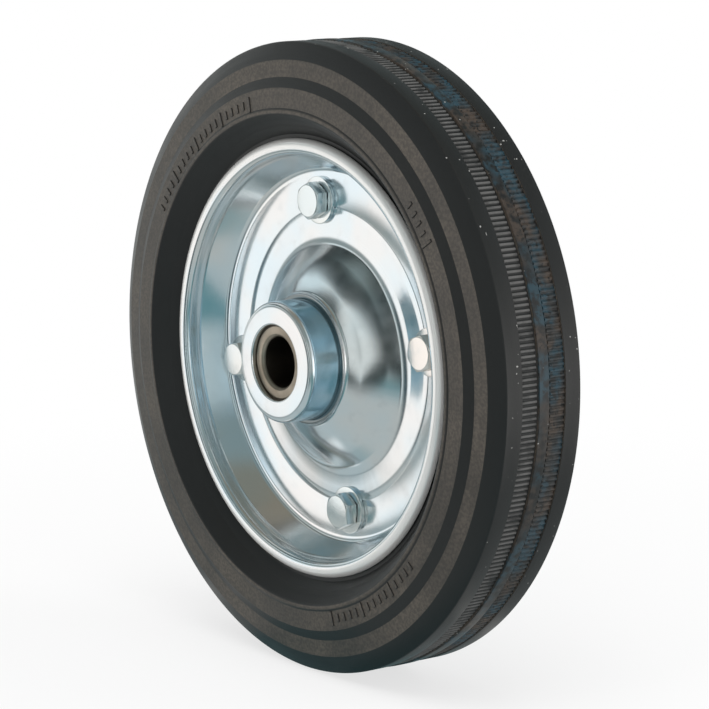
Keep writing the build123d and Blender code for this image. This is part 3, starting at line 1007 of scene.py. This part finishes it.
class WHEEL_OT_stage(Operator):
    """Set the pale floor, the dome that metal mirrors, the lights and the camera"""
    bl_idname = "wheel.stage"
    bl_label = "Stage"

    def execute(self, context):
        settings = context.scene.wheel_stage
        self.world(settings)
        self.floor()
        self.dome()
        self.light("softbox", (0.55, -0.6, 2.0), 1.6, settings.softbox, mirrored=False)
        self.light("backlight", (1.5, 1.6, 1.3), 1.4, settings.softbox * 0.45, mirrored=False)
        self.camera(settings)
        context.scene.view_settings.view_transform = "Standard"
        return {"FINISHED"}

    def world(self, settings):
        """White to the camera and in reflections, and a level fill for the surfaces themselves."""
        world = bpy.data.worlds.new("studio")
        world.use_nodes = True
        tree = world.node_tree
        background = tree.nodes["Background"]
        background.inputs["Color"].default_value = (1, 1, 1, 1)
        path = tree.nodes.new("ShaderNodeLightPath")
        seen = tree.nodes.new("ShaderNodeMath")
        seen.operation = "MAXIMUM"
        tree.links.new(path.outputs["Is Camera Ray"], seen.inputs[0])
        glossy = tree.nodes.new("ShaderNodeMath")
        glossy.operation = "MAXIMUM"
        tree.links.new(path.outputs["Is Glossy Ray"], glossy.inputs[0])
        tree.links.new(path.outputs["Is Transmission Ray"], glossy.inputs[1])
        tree.links.new(glossy.outputs[0], seen.inputs[1])
        level = tree.nodes.new("ShaderNodeMapRange")
        level.inputs["To Min"].default_value = settings.fill
        level.inputs["To Max"].default_value = 1.0
        tree.links.new(seen.outputs[0], level.inputs["Value"])
        tree.links.new(level.outputs["Result"], background.inputs["Strength"])
        world.cycles.sampling_method = "NONE"
        bpy.context.scene.world = world

    def floor(self):
        """A pale floor that stays white to the camera away from the wheel and keeps its shadow."""
        bm = bmesh.new()
        bmesh.ops.create_grid(bm, x_segments=8, y_segments=8, size=9)
        bmesh.ops.translate(bm, verts=bm.verts, vec=(0, 0, CAD_BOX[0][2] - 0.0002))
        floor = self.stage_piece("floor", bm)
        shader = Shader("pale_floor", 0.9)
        shader.set("Base Color", (0.86, 0.86, 0.86))
        path = shader.add("ShaderNodeLightPath")
        seen = path.out("Is Camera Ray").maths("MAXIMUM", path.out("Is Camera Ray"), path.out("Is Transmission Ray"))
        mirrored_ray = path.out("Is Glossy Ray")
        away = (shader.x * shader.x + shader.y * shader.y) ** 0.5
        share = seen * (0.72 + 0.28 * shader.ramp(away, 0.16, 0.55))
        share = share.maths("MAXIMUM", share, mirrored_ray)
        colour = shader.mix(mirrored_ray, (1, 1, 1), studio_tone(shader))
        glow = shader.add("ShaderNodeEmission", values={"Color": colour, "Strength": 1.0})
        output = shader.tree.nodes["Material Output"]
        blend = shader.add("ShaderNodeMixShader", values={0: share})
        shader.tree.links.new(shader.principled.outputs["BSDF"], blend.node.inputs[1])
        shader.tree.links.new(glow.node.outputs[0], blend.node.inputs[2])
        shader.tree.links.new(blend.node.outputs[0], output.inputs["Surface"])
        floor.data.materials.append(shader.material)

    def dome(self):
        """A wide shell that only shiny surfaces mirror, with the tones of a small studio."""
        bm = bmesh.new()
        bmesh.ops.create_icosphere(bm, subdivisions=4, radius=4.0)
        dome = self.stage_piece("studio_dome", bm)
        shader = Shader("studio_tones", 0.9)
        shader.set("Base Color", (0, 0, 0))
        shader.set("Emission Color", studio_tone(shader))
        shader.set("Emission Strength", 1.0)
        dome.data.materials.append(shader.material)
        dome.visible_camera = False
        dome.visible_diffuse = False
        dome.visible_shadow = False
        dome.visible_transmission = False

    def stage_piece(self, name, bm):
        """Makes bm an object that isn't part of the wheel."""
        mesh = bpy.data.meshes.new(name)
        bm.to_mesh(mesh)
        bm.free()
        piece = bpy.data.objects.new(name, mesh)
        bpy.context.scene.collection.objects.link(piece)
        return piece

    def light(self, name, place, size, power, mirrored=True):
        """A square soft light that points at the wheel."""
        lamp = bpy.data.lights.new(name, "AREA")
        lamp.size = size
        lamp.energy = power
        holder = bpy.data.objects.new(name, lamp)
        holder.location = place
        holder.rotation_euler = (-Vector(place)).to_track_quat("-Z", "Y").to_euler()
        holder.visible_glossy = mirrored
        bpy.context.scene.collection.objects.link(holder)

    def camera(self, settings):
        """The photograph's view: a long lens, turned a little aside from the wheel's centre."""
        azimuth, elevation = settings.azimuth, settings.elevation
        back = Vector((
            math.sin(azimuth) * math.cos(elevation),
            -math.cos(azimuth) * math.cos(elevation),
            math.sin(elevation),
        ))
        right = Vector((math.cos(azimuth), math.sin(azimuth), 0))
        up = back.cross(right)
        axes = Matrix((right, up, back)).transposed()
        lens = bpy.data.cameras.new("camera")
        lens.sensor_width = 36
        lens.lens = settings.lens
        holder = bpy.data.objects.new("camera", lens)
        holder.matrix_world = (
            Matrix.Translation(back * settings.distance)
            @ Matrix.Rotation(settings.pan, 4, "Z")
            @ axes.to_4x4()
        )
        bpy.context.scene.collection.objects.link(holder)
        bpy.context.scene.camera = holder


class WHEEL_PT_sidebar(Panel):
    """Lists the wheel's pieces and their settings"""
    bl_idname = "WHEEL_PT_sidebar"
    bl_label = "Replacement Wheel"
    bl_space_type = "VIEW_3D"
    bl_region_type = "UI"
    bl_category = "Wheel"

    def draw(self, context):
        scene = context.scene
        for group in (scene.wheel_tyre, scene.wheel_steel, scene.wheel_fasteners, scene.wheel_stage):
            box = self.layout.box()
            for name in group.bl_rna.properties.keys():
                if name not in {"rna_type", "name"}:
                    box.prop(group, name)
        for operator in OPERATORS:
            self.layout.operator(operator.bl_idname)


OPERATORS = (
    WHEEL_OT_finishes,
    WHEEL_OT_tyre,
    WHEEL_OT_ribs,
    WHEEL_OT_marks,
    WHEEL_OT_rims,
    WHEEL_OT_hub,
    WHEEL_OT_fasteners,
    WHEEL_OT_stage,
)
SETTINGS = {
    "wheel_tyre": TyreSettings,
    "wheel_steel": SteelSettings,
    "wheel_fasteners": FastenerSettings,
    "wheel_stage": StageSettings,
}


def register():
    for name, group in SETTINGS.items():
        bpy.utils.register_class(group)
        setattr(bpy.types.Scene, name, PointerProperty(type=group))
    for operator in OPERATORS:
        bpy.utils.register_class(operator)
    bpy.utils.register_class(WHEEL_PT_sidebar)


def unregister():
    bpy.utils.unregister_class(WHEEL_PT_sidebar)
    for operator in reversed(OPERATORS):
        bpy.utils.unregister_class(operator)
    for name, group in reversed(SETTINGS.items()):
        delattr(bpy.types.Scene, name)
        bpy.utils.unregister_class(group)


def main():
    """Registers the add-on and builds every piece."""
    register()
    bpy.ops.wheel.finishes()
    bpy.ops.wheel.tyre()
    bpy.ops.wheel.ribs()
    bpy.ops.wheel.marks()
    bpy.ops.wheel.rims()
    bpy.ops.wheel.hub()
    bpy.ops.wheel.fasteners()
    bpy.ops.wheel.stage()


if __name__ == "__main__":
    main()
